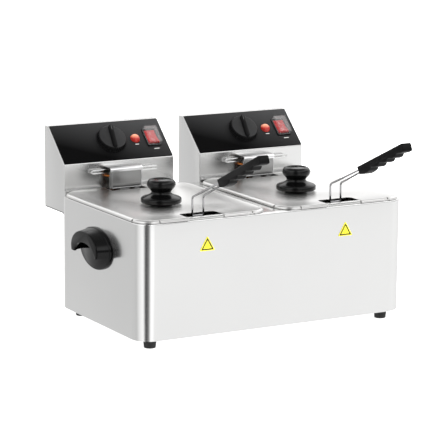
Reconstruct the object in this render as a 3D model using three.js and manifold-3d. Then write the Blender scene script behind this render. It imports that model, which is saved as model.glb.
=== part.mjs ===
// Twin-tank countertop electric deep fryer, built piece by piece.
// Millimetres, +Z up, +X to the right, the front faces -Y.
// The origin is on the table, under the centre of the whole object's box.
import * as THREE from 'three';
import { mergeVertices } from 'three/addons/utils/BufferGeometryUtils.js';
import Module from 'manifold-3d';

const wasm = await Module();
wasm.setup();

// ---------------------------------------------------------------- driving dimensions
const GAP = 0.3;              // between pieces that touch
const WIDTH = 494;            // casing, left to right
const DEPTH = 296;            // casing, front to rear
const OVERALL_DEPTH = 380;    // casing front to the back of the control heads
const HEIGHT = 306;           // table to the top of the control heads
const FOOT_HEIGHT = 15;
const DECK = 202;             // casing top
const CORNER = 30;            // casing's upright corners
const PITCH = 257;            // between the two fryer units
const SHEET = 1.5;            // casing sheet
const THIN = 1.2;             // tank and head sheet
const ORIGIN_Y = 103.12;      // casing front to the object's origin

const TANK = { halfX: 105, front: 12.5, rear: 284.5, floor: 42, radius: 30, rim: 206.3 };
const RIM = { halfX: 114.5, front: 3.5, rear: 290, radius: 31 };
const LID = { halfX: 117, front: 1.5, rear: 291.5, radius: 33, top: 207.5, skirt: 203.6, sheet: 0.9 };
const DISH = { depth: 7.5, halfX: 35, front: 104, rear: 205, slope: 55, radius: 20 };
const NOTCH = { halfX: 32, rear: 38, radius: 7 };
const REAR_SLOT = { halfX: 33.2, front: 264.5 };
const KNOB_Y = 154.5;         // lid knob, from the casing front

const HEAD = { halfX: 103, front: 303, bottom: 167, slopeFoot: 249, slopeTop: 365 };
const ELEMENT = { radius: 3.2, z: 54, legX: 14, legY: 281, topZ: 226 };
const BASKET = { halfX: 88, front: 28, rear: 245, radius: 24, wall: 2, top: 193.5 };
const WIRE = { radius: 1.8, x: 10, gripX: 6, y: 31.5, low: 150, bend: 233, turn: 4.5 };
const GRIP = { y: -46.5, z: 268, run: 124.4, rise: 56.4, width: 18, bevel: 2.4, length: 137 };

// ---------------------------------------------------------------- shape helpers
const FINE = 5;               // facets per quarter of a rounded corner

function solid(geometry) {
  const bare = geometry.clone();
  bare.deleteAttribute('normal');
  bare.deleteAttribute('uv');
  const merged = mergeVertices(bare, 1e-4);
  return new wasm.Manifold(new wasm.Mesh({
    numProp: 3,
    vertProperties: new Float32Array(merged.attributes.position.array),
    triVerts: new Uint32Array(merged.index.array),
  }));
}

function geometryOf(manifold) {
  const mesh = manifold.getMesh();
  const geometry = new THREE.BufferGeometry();
  geometry.setAttribute('position', new THREE.BufferAttribute(mesh.vertProperties, mesh.numProp));
  geometry.setIndex(new THREE.BufferAttribute(mesh.triVerts, 1));
  geometry.computeVertexNormals();
  return geometry;
}

const combine = (first, rest, method) =>
  geometryOf(rest.reduce((whole, piece) => whole[method](solid(piece)), solid(first)));
const cut = (body, ...tools) => combine(body, tools, 'subtract');
const join = (body, ...pieces) => combine(body, pieces, 'add');
const keep = (body, ...regions) => combine(body, regions, 'intersect');

// A rounded rectangle between two corners, as a Shape.
function plate(x0, y0, x1, y1, radius, shape = new THREE.Shape()) {
  const r = Math.max(radius, 0.01);
  shape.moveTo(x0 + r, y0);
  shape.lineTo(x1 - r, y0);
  shape.absarc(x1 - r, y0 + r, r, -Math.PI / 2, 0);
  shape.lineTo(x1, y1 - r);
  shape.absarc(x1 - r, y1 - r, r, 0, Math.PI / 2);
  shape.lineTo(x0 + r, y1);
  shape.absarc(x0 + r, y1 - r, r, Math.PI / 2, Math.PI);
  shape.lineTo(x0, y0 + r);
  shape.absarc(x0 + r, y0 + r, r, Math.PI, Math.PI * 1.5);
  return shape;
}

const raise = (shape, z0, z1, facets = FINE) => new THREE.ExtrudeGeometry(shape, {
  depth: z1 - z0, bevelEnabled: false, curveSegments: facets,
}).translate(0, 0, z0);

function block(x0, y0, z0, x1, y1, z1) {
  const box = new THREE.BoxGeometry(x1 - x0, y1 - y0, z1 - z0);
  return box.translate((x0 + x1) / 2, (y0 + y1) / 2, (z0 + z1) / 2);
}

// A turned piece about Z, from [radius, height] pairs.
const turn = (profile, facets = 16) => new THREE.LatheGeometry(
  profile.map(([radius, height]) => new THREE.Vector2(radius, height)), facets).rotateX(Math.PI / 2);

const rod = (radius, z0, z1, facets = 16) =>
  turn([[0, z0], [radius, z0], [radius, z1], [0, z1]], facets);

// An outline in the (Y, Z) plane pushed out along X, centred on X = 0.
function profileX(points, width, bevel = 0) {
  const shape = new THREE.Shape(points.map(([y, z]) => new THREE.Vector2(y, z)));
  const geometry = new THREE.ExtrudeGeometry(shape, {
    depth: width - 2 * bevel, bevelEnabled: bevel > 0, bevelThickness: bevel,
    bevelSize: bevel, bevelOffset: -bevel, bevelSegments: 1, curveSegments: FINE,
  });
  geometry.translate(0, 0, bevel - width / 2);
  geometry.applyMatrix4(new THREE.Matrix4().makeBasis(
    new THREE.Vector3(0, 1, 0), new THREE.Vector3(0, 0, 1), new THREE.Vector3(1, 0, 0)));
  return geometry;
}

// A bent wire: straight runs between corners, each corner turned on a radius.
class BentWire extends THREE.Curve {
  constructor(corners, bend, bendSteps = 4) {
    super();
    const at = corners.map((corner) => new THREE.Vector3(...corner));
    this.points = [at[0]];
    for (let i = 1; i < at.length - 1; i += 1) {
      const back = at[i - 1].clone().sub(at[i]);
      const ahead = at[i + 1].clone().sub(at[i]);
      const reach = Math.min(bend, back.length() * 0.49, ahead.length() * 0.49);
      const start = at[i].clone().addScaledVector(back.normalize(), reach);
      const end = at[i].clone().addScaledVector(ahead.normalize(), reach);
      const arc = new THREE.QuadraticBezierCurve3(start, at[i], end);
      this.points.push(...arc.getPoints(bendSteps));
    }
    this.points.push(at[at.length - 1]);
  }

  get steps() { return this.points.length - 1; }

  getPoint(t) {
    const place = Math.min(Math.max(t, 0), 1) * this.steps;
    const index = Math.min(Math.floor(place), this.steps - 1);
    return this.points[index].clone().lerp(this.points[index + 1], place - index);
  }

  getPointAt(u) { return this.getPoint(u); }

  getTangentAt(u) {
    const index = Math.round(u * this.steps);
    const before = this.points[Math.max(index - 1, 0)];
    const here = this.points[index];
    const after = this.points[Math.min(index + 1, this.steps)];
    const incoming = here.clone().sub(before).normalize();
    return after.clone().sub(here).normalize().add(incoming).normalize();
  }
}

function tube(corners, radius, bend, sides = 8, bendSteps = 4) {
  const path = new BentWire(corners, bend, bendSteps);
  const section = new THREE.Shape();
  section.absarc(0, 0, radius, 0, Math.PI * 2);
  return new THREE.ExtrudeGeometry(section, {
    steps: path.steps, extrudePath: path, curveSegments: sides, bevelEnabled: false,
  });
}

// ---------------------------------------------------------------- materials
const MATERIALS = {
  steel: { color: 0xd4d4d2, roughness: 0.34, metalness: 1 },
  brightSteel: { color: 0xe2e2e0, roughness: 0.18, metalness: 1 },
  tankSteel: { color: 0xc9c9c6, roughness: 0.28, metalness: 1 },
  chrome: { color: 0xdcdcdc, roughness: 0.08, metalness: 1 },
  black: { color: 0x161616, roughness: 0.38, metalness: 0 },
  gloss: { color: 0x0c0c0c, roughness: 0.12, metalness: 0 },
  fascia: { color: 0x1c1c1d, roughness: 0.5, metalness: 0 },
  rubber: { color: 0x101010, roughness: 0.85, metalness: 0 },
  element: { color: 0x6f6b66, roughness: 0.5, metalness: 1 },
  copper: { color: 0xb86a3c, roughness: 0.35, metalness: 1 },
  rocker: { color: 0xc41218, roughness: 0.25, metalness: 0 },
  lamp: { color: 0xe8532a, roughness: 0.15, metalness: 0 },
  clear: { color: 0xf2f2f2, roughness: 0.1, metalness: 0, transparent: true, opacity: 0.35 },
  ceramic: { color: 0xe9e6dc, roughness: 0.7, metalness: 0 },
  label: { color: 0xf2e41a, roughness: 0.5, metalness: 0 },
};

function piece(name, geometry, finish) {
  const mesh = new THREE.Mesh(geometry, new THREE.MeshStandardMaterial(MATERIALS[finish]));
  mesh.name = name;
  return mesh;
}

// ---------------------------------------------------------------- casing, base and feet
const unitCentres = [-PITCH / 2, PITCH / 2];
const HALF = WIDTH / 2;
const HOOK = { halfX: 40, front: 292.5, rear: 294, low: 188, halfLedge: 101, ledgeZ: 205.8 };

function casingShell() {
  const lip = 12;
  const ring = (inset, hole, z0, z1) => {
    const shape = plate(-HALF + inset, inset, HALF - inset, DEPTH - inset, CORNER - inset);
    shape.holes.push(plate(-HALF + hole, hole, HALF - hole, DEPTH - hole,
      Math.max(CORNER - hole, 1), new THREE.Path()));
    return raise(shape, z0, z1);
  };
  const walls = ring(0, SHEET, FOOT_HEIGHT, DECK);
  const turnedLip = ring(0, lip, FOOT_HEIGHT, FOOT_HEIGHT + SHEET);
  const deck = raise(plate(-HALF, 0, HALF, DEPTH, CORNER), DECK - SHEET, DECK);
  const openings = unitCentres.flatMap((x) => [
    raise(plate(x - TANK.halfX - 2, TANK.front - 2, x + TANK.halfX + 2, TANK.rear + 2,
      TANK.radius), DECK - 5, DECK + 5),
    block(x - HOOK.halfX - 1, HOOK.front - 0.8, DECK - 5, x + HOOK.halfX + 1, DEPTH - SHEET, DECK + 5),
  ]);
  return cut(join(walls, turnedLip, deck), ...openings);
}

function basePlate() {
  const inset = SHEET + GAP;
  const z0 = FOOT_HEIGHT + SHEET + GAP;
  const sheet = raise(plate(-HALF + inset, inset, HALF - inset, DEPTH - inset, CORNER - inset),
    z0, z0 + SHEET);
  const slots = [];
  for (const x of unitCentres) {
    for (let row = 0; row < 4; row += 1) {
      const y = 90 + row * 38;
      slots.push(block(x - 40, y, z0 - 1, x + 40, y + 3, z0 + SHEET + 1));
    }
  }
  return cut(sheet, ...slots);
}

const foot = () => turn([[0, 0], [8.4, 0], [9.4, 1.2], [11, FOOT_HEIGHT], [11, FOOT_HEIGHT + SHEET],
  [0, FOOT_HEIGHT + SHEET]], 14);

// A cup handle on the casing's side: an oval plate with a tapering hood over its upper half.
const CUP = { y: 151, z: 139, halfY: 54, squash: 0.633, plate: 4.5, reach: 24.4, cutZ: 131 };

// An oval form turned about X and squashed in height, from [half width, distance out] pairs.
function ovalForm(profile, y, z, squash) {
  const form = turn(profile, 40).scale(1, squash, 1);
  form.applyMatrix4(new THREE.Matrix4().makeBasis(
    new THREE.Vector3(0, 1, 0), new THREE.Vector3(0, 0, 1), new THREE.Vector3(1, 0, 0)));
  return form.translate(0, y, z);
}

function sideHandle(side) {
  const { y, z, halfY, squash, plate: thick, reach, cutZ } = CUP;
  const above = block(-1, 0, cutZ, reach + 1, DEPTH, DECK);
  const back = ovalForm([[0, GAP], [halfY, GAP], [halfY, thick - 1], [halfY - 1, thick], [0, thick]],
    y, z, squash);
  const outer = ovalForm([[0, thick - 1], [halfY - 1.5, thick - 1], [46.2, reach - 1.5],
    [44.8, reach], [0, reach]], y, z, squash);
  const cavity = ovalForm([[0, thick], [46, thick], [40, reach - 4], [0, reach - 4]], y, z, squash);
  const mouth = ovalForm([[0, thick], [36, thick], [36, reach + 2], [0, reach + 2]],
    y - 3 * side, cutZ, 0.53);
  const handle = join(back, keep(cut(outer, cavity, mouth), above));
  if (side < 0) handle.rotateZ(Math.PI).translate(0, 2 * y, 0);
  return handle.translate(side * HALF, 0, 0);
}

function warningLabel(x) {
  const halfWidth = 13.7;
  const height = 23.5;
  const low = 151.8;
  const shape = new THREE.Shape([new THREE.Vector2(-halfWidth, 0), new THREE.Vector2(halfWidth, 0),
    new THREE.Vector2(0, height)]);
  const sheet = new THREE.ExtrudeGeometry(shape, { depth: 0.4, bevelEnabled: false });
  return sheet.rotateX(Math.PI / 2).translate(x, -GAP, low);
}

// ---------------------------------------------------------------- one fryer unit
function tank() {
  const { halfX, front, rear, floor, radius, rim } = TANK;
  const lid = raise(plate(-RIM.halfX, RIM.front, RIM.halfX, RIM.rear, RIM.radius), rim - THIN, rim);
  const lip = cut(
    raise(plate(-RIM.halfX, RIM.front, RIM.halfX, RIM.rear, RIM.radius), DECK + GAP, rim),
    raise(plate(-RIM.halfX + THIN, RIM.front + THIN, RIM.halfX - THIN, RIM.rear - THIN,
      RIM.radius - THIN), DECK - 1, rim + 1));
  const basin = raise(plate(-halfX - THIN, front - THIN, halfX + THIN, rear + THIN, radius),
    floor, rim);
  const inside = raise(plate(-halfX, front, halfX, rear, radius - THIN), floor + THIN, rim + 5);
  return cut(join(lid, lip, basin), inside);
}

function lidPanel() {
  const { halfX, front, rear, radius, top, skirt, sheet } = LID;
  const outline = (inset) => plate(-halfX + inset, front + inset, halfX - inset, rear - inset,
    radius - inset);
  const dish = (drop) => new THREE.ExtrudeGeometry(
    plate(-DISH.halfX, DISH.front, DISH.halfX, DISH.rear, DISH.radius),
    { depth: 4, bevelEnabled: true, bevelThickness: DISH.depth, bevelSize: DISH.slope,
      bevelSegments: 1, curveSegments: 4 }).translate(0, 0, top - drop);
  const above = block(-200, -50, top - 0.001, 200, 350, top + 50);
  const bowl = cut(dish(sheet), above);
  const pan = cut(raise(outline(0), skirt, top), raise(outline(sheet), skirt - 1, top - sheet));
  const notch = raise(plate(-NOTCH.halfX, -20, NOTCH.halfX, NOTCH.rear, NOTCH.radius), 190, 220, 3);
  const slot = block(-REAR_SLOT.halfX, REAR_SLOT.front, 190, REAR_SLOT.halfX, 320, 220);
  const hole = rod(2.4, 190, 220, 10).translate(0, KNOB_Y, 0);
  return cut(join(pan, bowl), dish(0), notch, slot, hole);
}

const PANEL_LOW = LID.top - DISH.depth;

function lidKnob() {
  const z = PANEL_LOW + GAP;
  const bore = 2.3;
  return turn([[bore, z], [18.5, z], [18.5, z + 3], [32.8, z + 3], [33.4, z + 4.5], [33.2, z + 10],
    [31, z + 12], [18.5, z + 16.5], [16.2, z + 19.5], [17, z + 22.5], [21.5, z + 27.5],
    [23.5, z + 31.5], [23.5, z + 34.5], [21.5, z + 38.5], [18.5, z + 40.6], [16.5, z + 41],
    [15.5, z + 40.2], [bore, z + 40.2], [bore, z]], 20).translate(0, KNOB_Y, 0);
}

const lidKnobScrew = () => {
  const under = PANEL_LOW - LID.sheet - GAP;
  return turn([[0, under - 3], [4.5, under - 3], [5, under - 2], [5, under], [2, under],
    [2, PANEL_LOW + 30], [0, PANEL_LOW + 30]], 10).translate(0, KNOB_Y, 0);
};

function basket() {
  const { halfX, front, rear, radius, wall, top } = BASKET;
  const low = ELEMENT.z + ELEMENT.radius + GAP;
  const shell = cut(raise(plate(-halfX, front, halfX, rear, radius), low, top, 4),
    raise(plate(-halfX + wall, front + wall, halfX - wall, rear - wall, radius - wall),
      low + wall, top + 5, 4));
  const rim = cut(raise(plate(-halfX - 1.5, front - 1.5, halfX + 1.5, rear + 1.5, radius + 1.5),
    top - 1, top + 3.5, 4),
  raise(plate(-halfX + wall, front + wall, halfX - wall, rear - wall, radius - wall),
    top - 2, top + 5, 4));
  return join(shell, rim, ...handleWires(0));
}

// The two handle wires rise from the basket's front and run forward into the grip.
function handleWires(extra) {
  const slope = Math.hypot(GRIP.run, GRIP.rise);
  const inside = 24;
  const tip = [GRIP.y - (GRIP.run / slope) * inside, GRIP.z + (GRIP.rise / slope) * inside];
  return [-1, 1].map((side) => tube([[side * WIRE.x, WIRE.y, WIRE.low],
    [side * WIRE.x, WIRE.y, WIRE.bend], [side * WIRE.gripX, GRIP.y, GRIP.z],
    [side * WIRE.gripX, ...tip.map((value, index) => value + extra * [-1, 0.46][index])]],
  WIRE.radius + extra, WIRE.turn, 8, 3));
}

// The grip's outline, along and across its own length; the underside has finger rests.
function gripOutline() {
  const end = GRIP.length;
  const top = [[0, 0], [end - 3, 0], [end - 0.7, -1.2], [end, -5], [end, -12], [end - 2, -13.6]];
  const under = [[end - 6, -13.8]];
  for (let rest = 0; rest < 4; rest += 1) {
    const far = end - 22 - rest * 25.6;
    under.push([far, -11.3], [far - 8.2, -15.3]);
  }
  return [...top, ...under, [13, -16], [2, -13.4]];
}

function basketGrip() {
  const slope = Math.hypot(GRIP.run, GRIP.rise);
  const along = [-GRIP.run / slope, GRIP.rise / slope];
  const across = [GRIP.rise / slope, GRIP.run / slope];
  const lift = 6;
  const outline = gripOutline().map(([length, height]) => [
    GRIP.y + along[0] * length + across[0] * (height + lift),
    GRIP.z + along[1] * length + across[1] * (height + lift)]);
  return cut(profileX(outline, GRIP.width, GRIP.bevel), ...handleWires(GAP));
}

// ---------------------------------------------------------------- the control head
const SLOPE = new THREE.Vector2(HEAD.slopeTop - HEAD.front, HEIGHT - HEAD.slopeFoot);
const PANEL = {
  length: SLOPE.length(),
  angle: SLOPE.angle(),
  middle: SLOPE.length() / 2,
  knobX: -1.5,
  lampX: 44.5,
  switchX: 75.5,
};
const PORT = { shaft: 5.4, lamp: 6.4, switchX: 12.2, switchY: 17.8 };

function headProfile(inset, bottom) {
  const steep = new THREE.Vector2(-SLOPE.y, SLOPE.x).normalize().multiplyScalar(-inset);
  const front = HEAD.front + inset;
  const top = HEIGHT - inset;
  const rise = SLOPE.y / SLOPE.x;
  const footZ = HEAD.slopeFoot + steep.y + (front - HEAD.front - steep.x) * rise;
  const topY = HEAD.front + steep.x + (top - HEAD.slopeFoot - steep.y) / rise;
  return [[front, bottom], [OVERALL_DEPTH - inset, bottom], [OVERALL_DEPTH - inset, top],
    [topY, top], [front, footZ]];
}

// Moves a piece drawn flat on the sloped panel (X across, Y up the slope, Z out) into place.
function ontoPanel(geometry) {
  return geometry.rotateX(PANEL.angle).translate(0, HEAD.front, HEAD.slopeFoot);
}

function panelPorts(z0, z1, lamp) {
  return [
    rod(PORT.shaft, z0, z1, 16).translate(PANEL.knobX, PANEL.middle, 0),
    rod(lamp, z0, z1, 16).translate(PANEL.lampX, PANEL.middle, 0),
    block(PANEL.switchX - PORT.switchX, PANEL.middle - PORT.switchY, z0,
      PANEL.switchX + PORT.switchX, PANEL.middle + PORT.switchY, z1),
  ];
}

const lyingRod = (radius, x, z, y0, y1, facets = 12) =>
  rod(radius, y0, y1, facets).rotateX(-Math.PI / 2).translate(x, 0, z);

function headShell() {
  const bottom = HEAD.bottom + THIN + GAP;
  const outer = profileX(headProfile(0, bottom), 2 * HEAD.halfX);
  const inner = profileX(headProfile(THIN, bottom - 5), 2 * (HEAD.halfX - THIN));
  const legs = [-1, 1].map((side) =>
    lyingRod(ELEMENT.radius + 2 * GAP, side * ELEMENT.legX, ELEMENT.topZ, 295, 310));
  const capillary = lyingRod(2.5, PROBE.x, PROBE.z, 295, 310);
  return cut(outer, inner, ...panelPorts(-5, 5, PORT.lamp).map(ontoPanel), ...legs, capillary);
}

function headCover() {
  const cover = block(-HEAD.halfX, HEAD.front, HEAD.bottom, HEAD.halfX, OVERALL_DEPTH,
    HEAD.bottom + THIN);
  return cut(cover, rod(8.3, 150, 180, 12).translate(GLAND.x, GLAND.y, 0));
}

const GLAND = { x: -70, y: 352 };
const cableGland = () => turn([[4.2, 153], [7, 153], [8, 156], [11.5, 156], [11.5, HEAD.bottom - GAP],
  [8, HEAD.bottom - GAP], [8, HEAD.bottom + 8], [4.2, HEAD.bottom + 8], [4.2, 153]], 12)
  .translate(GLAND.x, GLAND.y, 0);

function fascia() {
  const edge = 1.2;
  const sheet = raise(plate(-HEAD.halfX + edge, edge, HEAD.halfX - edge, PANEL.length - edge, 1.5),
    GAP, GAP + 1, 2);
  return ontoPanel(cut(sheet, ...panelPorts(-5, 5, PORT.lamp)));
}

const FACE = GAP + 1;          // the fascia's outer surface, above the slope

function thermostatKnob() {
  const bore = 3.3;
  const z = FACE + 0.6;
  const tilt = THREE.MathUtils.degToRad(8);
  const body = turn([[bore, z], [25.5, z], [26, z + 1], [25.6, z + 7], [24, z + 10.5],
    [0, z + 10.5], [0, z + 9], [bore, z + 9], [bore, z]], 24);
  const ridge = raise(plate(-3.6, -23, 3.6, 23.5, 2.5), z + 10, z + 15, 2).rotateZ(-tilt);
  const knob = join(body, ridge);
  return ontoPanel(knob.translate(PANEL.knobX, PANEL.middle, 0));
}

const thermostatShaft = () =>
  ontoPanel(rod(3, -12, FACE + 9.3, 12).translate(PANEL.knobX, PANEL.middle, 0));

function thermostatBody() {
  const can = block(-18, -15, -34, 18, 15, -2.2);
  const bush = rod(5, -3, FACE + 0.3, 12);
  const bore = rod(3.3, -13, 10, 12);
  return ontoPanel(cut(join(can, bush), bore).translate(PANEL.knobX, PANEL.middle, 0));
}

const lampBody = () =>
  ontoPanel(rod(6, -24, FACE + 0.2, 12).translate(PANEL.lampX, PANEL.middle, 0));

const lampLens = () => ontoPanel(turn([[0, FACE + GAP + 0.2], [8.6, FACE + GAP + 0.2],
  [8.6, FACE + 1.8], [8, FACE + 3], [6.6, FACE + 5.2], [4.2, FACE + 6.8], [0, FACE + 7.4]], 16)
  .translate(PANEL.lampX, PANEL.middle, 0));

const SWITCH = { halfX: 13, halfY: 18.5, wellX: 10.3, wellY: 15, tilt: 7 };

function switchBody() {
  const bezel = raise(plate(-SWITCH.halfX, -SWITCH.halfY, SWITCH.halfX, SWITCH.halfY, 2),
    FACE + GAP, FACE + 2.6, 2);
  const body = block(-PORT.switchX + GAP, -PORT.switchY + GAP, -26, PORT.switchX - GAP,
    PORT.switchY - GAP, FACE + 1);
  const well = block(-SWITCH.wellX, -SWITCH.wellY, -6, SWITCH.wellX, SWITCH.wellY, 10);
  return ontoPanel(cut(join(bezel, body), well).translate(PANEL.switchX, PANEL.middle, 0));
}

const ROCKER_PIVOT = 0.5;      // the rocker's pivot, above the slope

function rocker() {
  const outline = [[-13.9, -1.8], [0, -4], [13.9, -1.8], [13.9, 4.6], [0, 3], [-13.9, 4.6]];
  const shape = profileX(outline, 20);
  shape.rotateX(THREE.MathUtils.degToRad(-SWITCH.tilt));
  return ontoPanel(shape.translate(PANEL.switchX, PANEL.middle, ROCKER_PIVOT));
}

function switchCover() {
  const low = FACE + 2.6 + GAP;
  const outer = raise(plate(-12.4, -17.9, 12.4, 17.9, 3), low, low + 9, 3);
  const inner = raise(plate(-11.4, -16.9, 11.4, 16.9, 2), low - 1, low + 8, 3);
  return ontoPanel(cut(outer, inner).translate(PANEL.switchX, PANEL.middle, 0));
}

function heatingElement() {
  const { radius, z, legX, legY, topZ } = ELEMENT;
  const half = [[legX, 322, topZ], [legX, legY, topZ], [legX, legY, z], [78, 262, z], [78, 48, z],
    [28, 48, z], [28, 232, z]];
  const other = [...half].reverse().map(([x, y, height]) => [-x, y, height]);
  return tube([...half, ...other], radius, 18, 7, 4);
}

// The thermostat's capillary, ending in a bulb behind the basket.
const PROBE = { x: -29, z: 227, bulbX: -21.5, bulbY: 280, bulb: 3, low: 66, high: 140 };
const thermostatProbe = () => join(
  tube([[PROBE.x, 322, PROBE.z], [PROBE.x, 297, PROBE.z], [PROBE.bulbX, 290, PROBE.z - 0.5],
    [PROBE.bulbX, PROBE.bulbY, 214], [PROBE.bulbX, PROBE.bulbY, PROBE.high - 5]], 1.9, 5, 6, 3),
  rod(PROBE.bulb, PROBE.low, PROBE.high, 10).translate(PROBE.bulbX, PROBE.bulbY, 0));

const terminalBlock = () => {
  const strip = block(-30, 318, 185, 30, 336, 203);
  const ways = [-18, -6, 6, 18].map((x) => rod(2.6, 195, 210, 8).translate(x, 327, 0));
  return cut(strip, ...ways);
};

// The hook that carries the head: a ledge across the casing's rear edge and a tongue in its slot.
function headHook() {
  const { halfX, front, rear, low, halfLedge, ledgeZ } = HOOK;
  const ledge = block(-halfLedge, front, ledgeZ, halfLedge, HEAD.front - GAP, ledgeZ + 1.4);
  const apron = block(-halfX, HEAD.front - GAP - 1.2, 176, halfX, HEAD.front - GAP, ledgeZ + 0.5);
  const tongue = block(-halfX, front, low, halfX, rear, ledgeZ + 0.5);
  return join(ledge, apron, tongue);
}

// Splash guard over the element's legs: a hood from the head and a front plate.
function elementBracket() {
  const rear = HEAD.front - GAP;
  const bend = (radius, from, to) => Array.from({ length: 5 }, (_, step) => {
    const turnAngle = THREE.MathUtils.degToRad(from + ((to - from) * step) / 4);
    return [281 + radius * Math.cos(turnAngle), 238 + radius * Math.sin(turnAngle)];
  });
  const hood = profileX([[rear, 243], ...bend(5, 90, 180), [276, 235.2], [282, 235.2],
    [282, 236.4], [277.2, 236.4], ...bend(3.8, 180, 90), [rear, 241.8]], 60);
  const face = block(-28, 276, LID.top - 0.7, 28, 277.2, 236);
  const wings = [-1, 1].map((side) => profileX([[276.5, LID.top - 0.7], [287, LID.top - 0.7],
    [285, 236], [276.5, 236]], 1.2).translate(side * 27.4, 0, 0));
  return join(hood, face, ...wings);
}

function hangerLoop() {
  const wire = 1.5;
  const height = 234;
  const loop = new THREE.Shape();
  const halfX = 62.6;
  const radius = 2.6;
  const turns = plate(-halfX, -radius - wire, halfX, radius + wire, radius + wire, loop);
  turns.holes.push(plate(-halfX + 2 * wire, -radius + wire, halfX - 2 * wire, radius - wire,
    radius - wire, new THREE.Path()));
  return raise(turns, -wire, wire, 4).rotateX(Math.PI / 2).translate(5.9, 296.2, height);
}

// ---------------------------------------------------------------- assembly
function fryerUnit(side) {
  const unit = new THREE.Group();
  const pieces = [
    ['tank', tank(), 'tankSteel'],
    ['lid', lidPanel(), 'steel'],
    ['lid_knob', lidKnob(), 'gloss'],
    ['lid_knob_screw', lidKnobScrew(), 'brightSteel'],
    ['basket', basket(), 'chrome'],
    ['basket_grip', basketGrip(), 'black'],
    ['head_shell', headShell(), 'steel'],
    ['head_cover', headCover(), 'steel'],
    ['head_hook', headHook(), 'steel'],
    ['cable_gland', cableGland(), 'black'],
    ['fascia', fascia(), 'fascia'],
    ['thermostat_knob', thermostatKnob(), 'black'],
    ['thermostat_shaft', thermostatShaft(), 'brightSteel'],
    ['thermostat_body', thermostatBody(), 'ceramic'],
    ['thermostat_probe', thermostatProbe(), 'copper'],
    ['lamp_lens', lampLens(), 'lamp'],
    ['lamp_body', lampBody(), 'black'],
    ['switch_body', switchBody(), 'black'],
    ['switch_rocker', rocker(), 'rocker'],
    ['switch_cover', switchCover(), 'clear'],
    ['heating_element', heatingElement(), 'element'],
    ['element_bracket', elementBracket(), 'brightSteel'],
    ['hanger_loop', hangerLoop(), 'chrome'],
    ['terminal_block', terminalBlock(), 'ceramic'],
  ];
  for (const [name, geometry, finish] of pieces) unit.add(piece(`${side}_${name}`, geometry, finish));
  return unit;
}

const fryer = new THREE.Group();
const base = new THREE.Group();
fryer.add(base);

base.add(piece('casing_shell', casingShell(), 'steel'));
base.add(piece('base_plate', basePlate(), 'steel'));
for (const [front, y] of [['front', 25], ['rear', DEPTH - 27]]) {
  for (const [hand, sign] of [['left', -1], ['right', 1]]) {
    const support = piece(`foot_${front}_${hand}`, foot(), 'rubber');
    support.position.set(sign * (HALF - 30), y, 0);
    base.add(support);
  }
}
base.add(piece('side_handle_left', sideHandle(-1), 'black'));
base.add(piece('side_handle_right', sideHandle(1), 'black'));

['left', 'right'].forEach((side, index) => {
  base.add(piece(`${side}_label`, warningLabel(unitCentres[index]), 'label'));
  const unit = fryerUnit(side);
  unit.position.x = unitCentres[index];
  base.add(unit);
});

base.position.y = -ORIGIN_Y;

export default fryer;
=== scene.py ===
"""The looks of a twin-tank countertop deep fryer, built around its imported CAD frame."""

import math

import bmesh
import bpy
from mathutils import Matrix, Vector


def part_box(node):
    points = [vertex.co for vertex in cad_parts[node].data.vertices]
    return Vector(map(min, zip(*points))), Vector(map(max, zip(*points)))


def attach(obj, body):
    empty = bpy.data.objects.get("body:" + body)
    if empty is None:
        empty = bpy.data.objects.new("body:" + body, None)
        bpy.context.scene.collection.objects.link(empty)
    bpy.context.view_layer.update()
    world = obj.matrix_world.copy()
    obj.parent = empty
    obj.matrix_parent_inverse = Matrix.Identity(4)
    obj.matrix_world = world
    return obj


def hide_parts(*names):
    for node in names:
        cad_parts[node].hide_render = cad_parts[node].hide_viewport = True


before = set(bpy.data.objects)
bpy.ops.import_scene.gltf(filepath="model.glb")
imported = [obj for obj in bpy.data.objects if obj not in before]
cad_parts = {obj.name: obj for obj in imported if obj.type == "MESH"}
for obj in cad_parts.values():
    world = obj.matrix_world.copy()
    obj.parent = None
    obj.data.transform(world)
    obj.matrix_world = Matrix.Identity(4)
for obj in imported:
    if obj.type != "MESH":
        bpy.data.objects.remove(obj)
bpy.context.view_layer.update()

MM = 0.001
SIDES = ("left", "right")
NEAR_AXIS = 0.02                       # turned forms end this close to their axis, in millimetres


# ------------------------------------------------------------------ places, in millimetres
def box_mm(node):
    """A node's lowest and highest corners in millimetres."""
    low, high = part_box(node)
    return low / MM, high / MM


CASE_LO, CASE_HI = box_mm("casing_shell")
FRONT = CASE_LO.y                      # the casing's front face
WALL_LEFT, WALL_RIGHT = CASE_LO.x, CASE_HI.x
DECK = CASE_HI.z
UNIT_X = {s: sum(v.x for v in box_mm(s + "_tank")) / 2 for s in SIDES}

# the basket's grip starts here, behind the casing's front face, and rises along this slope
GRIP_Y, GRIP_Z, GRIP_LENGTH = -46.5, 268.0, 137.0
GRIP_SLOPE = math.atan2(56.4, 124.4)
WIRE_X, WIRE_IN_GRIP_X = 10.0, 6.0

# the control head's sloped panel, and what sits on it, left to right
SLOPE_RUN, SLOPE_RISE, SLOPE_FOOT = 62.0, 57.0, 249.0
KNOB_X, LAMP_X, SWITCH_X = -1.5, 44.5, 75.5
PANEL_LENGTH = math.hypot(SLOPE_RUN, SLOPE_RISE)
PANEL_MID = PANEL_LENGTH / 2
FACE = 1.3                             # the panel plate's outer face above the head's sheet


# ------------------------------------------------------------------ mesh building
class Shell:
    """Vertices and faces of one piece, in millimetres, gathered from several closed forms."""

    def __init__(self):
        self.verts, self.faces = [], []

    def add(self, form, matrix=None):
        verts, faces = form
        base = len(self.verts)
        self.verts += [matrix @ Vector(v) if matrix else Vector(v) for v in verts]
        self.faces += [tuple(i + base for i in face) for face in faces]
        return self


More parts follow.
